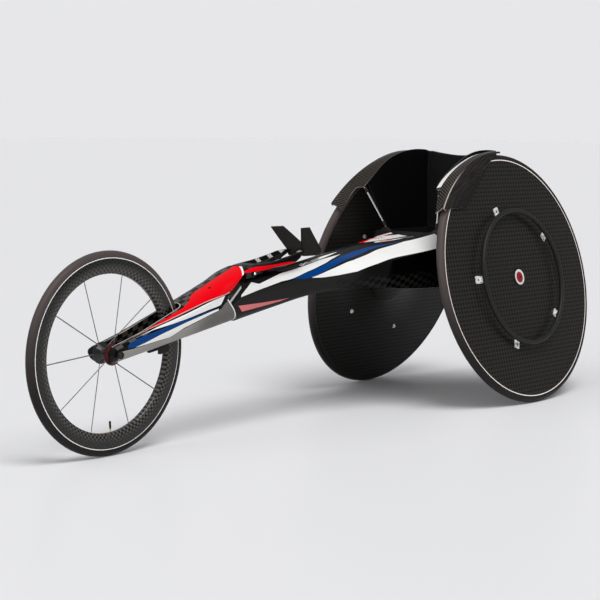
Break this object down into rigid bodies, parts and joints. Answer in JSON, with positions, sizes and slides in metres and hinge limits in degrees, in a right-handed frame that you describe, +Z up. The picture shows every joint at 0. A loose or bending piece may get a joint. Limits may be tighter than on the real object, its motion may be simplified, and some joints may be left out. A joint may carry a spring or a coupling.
{
  "type": "racing wheelchair",
  "caption": "Three-wheeled sports wheelchair with a long beam frame, cambered rear disc wheels with push rings, a low bucket seat and a steered front wheel.",
  "frame": {"origin": "on the floor under the middle of the bounding box, in the middle plane of the chair", "axes": "-Y is forwards, from the seat to the front wheel; +X is to the sitter's left; +Z is up"},
  "size_m": [0.5972, 1.8425, 0.6662],
  "materials": {
    "white": "clear-coated painted composite",
    "carbon": "clear-coated woven carbon",
    "fabric": "woven cover",
    "silver": "satin anodised",
    "tyre": "worn tubular tyre",
    "rubber": "moulded rubber coating",
    "steel": "machined",
    "red": "clear-coated red paint",
    "dark": "satin black",
    "brass": "turned"
  },
  "bodies": {
    "chair": {"frame": "white", "head_tube": "silver", "head_bearing_lower": "steel", "head_bearing_upper": "steel", "seat_tub": "carbon", "side_panel_left": "carbon", "side_panel_right": "carbon", "backrest": "fabric", "seat_cushion": "fabric", "guard_left": "carbon", "guard_right": "carbon", "strut_left": "silver", "strut_right": "silver", "strut_bracket_left": "dark", "strut_bracket_right": "dark", "camber_tube": "silver", "axle_left": "red", "axle_right": "red"},
    "steered_fork": {"fork": "red", "steering_pin": "steel", "yoke": "dark", "grip_left": "rubber", "grip_right": "rubber", "front_axle": "steel", "axle_nut_left": "dark", "axle_nut_right": "dark"},
    "front_wheel": {"front_tyre": "tyre", "front_rim": "carbon", "front_hub": "dark", "front_bearing_left": "steel", "front_bearing_right": "steel", "valve": "brass", "spoke_01": "steel", "spoke_02": "steel", "spoke_03": "steel", "spoke_04": "steel", "spoke_05": "steel", "spoke_06": "steel", "spoke_07": "steel", "spoke_08": "steel", "spoke_09": "steel", "spoke_10": "steel"},
    "wheel_left": {"rear_tyre_left": "tyre", "wheel_disc_left": "carbon", "rear_hub_left": "silver", "rear_bearing_inner_left": "steel", "rear_bearing_outer_left": "steel", "push_ring_left": "rubber"},
    "wheel_right": {"rear_tyre_right": "tyre", "wheel_disc_right": "carbon", "rear_hub_right": "silver", "rear_bearing_inner_right": "steel", "rear_bearing_outer_right": "steel", "push_ring_right": "rubber"},
    "button_left": {"axle_button_left": "dark"},
    "button_right": {"axle_button_right": "dark"},
    "shoe_left": {"brake_shoe_left": "dark"},
    "shoe_right": {"brake_shoe_right": "dark"}
  },
  "joints": [
    {"name": "steering", "type": "hinge", "parent": "chair", "child": "steered_fork", "pos_m": [0, -0.27, 0.35], "axis": [0, 0.7513, 0.66], "range_deg": [-10, 10], "stiffness_Nm_per_rad": 15},
    {"name": "front_wheel_spin", "type": "hinge", "parent": "steered_fork", "child": "front_wheel", "pos_m": [0, -0.693, 0.22851], "axis": [1, 0, 0], "continuous": true},
    {"name": "wheel_left_spin", "type": "hinge", "parent": "chair", "child": "wheel_left", "pos_m": [0.216, 0.587, 0.32625], "axis": [0.9751, 0, 0.2215], "continuous": true},
    {"name": "wheel_right_spin", "type": "hinge", "parent": "chair", "child": "wheel_right", "pos_m": [-0.216, 0.587, 0.32625], "axis": [-0.9751, 0, 0.2215], "continuous": true},
    {"name": "axle_button_left_push", "type": "slide", "parent": "chair", "child": "button_left", "axis": [0.9751, 0, 0.2215], "range_m": [-0.003, 0], "stiffness_N_per_m": 400},
    {"name": "axle_button_right_push", "type": "slide", "parent": "chair", "child": "button_right", "axis": [-0.9751, 0, 0.2215], "range_m": [-0.003, 0], "stiffness_N_per_m": 400},
    {"name": "brake_left_close", "type": "slide", "parent": "steered_fork", "child": "shoe_left", "axis": [-1, 0, 0], "range_m": [0, 0.0012], "stiffness_N_per_m": 600},
    {"name": "brake_right_close", "type": "slide", "parent": "steered_fork", "child": "shoe_right", "axis": [1, 0, 0], "range_m": [0, 0.0012], "stiffness_N_per_m": 600}
  ],
  "couplings": [
    {"joint": "brake_right_close", "follows": "brake_left_close", "ratio": 1}
  ]
}
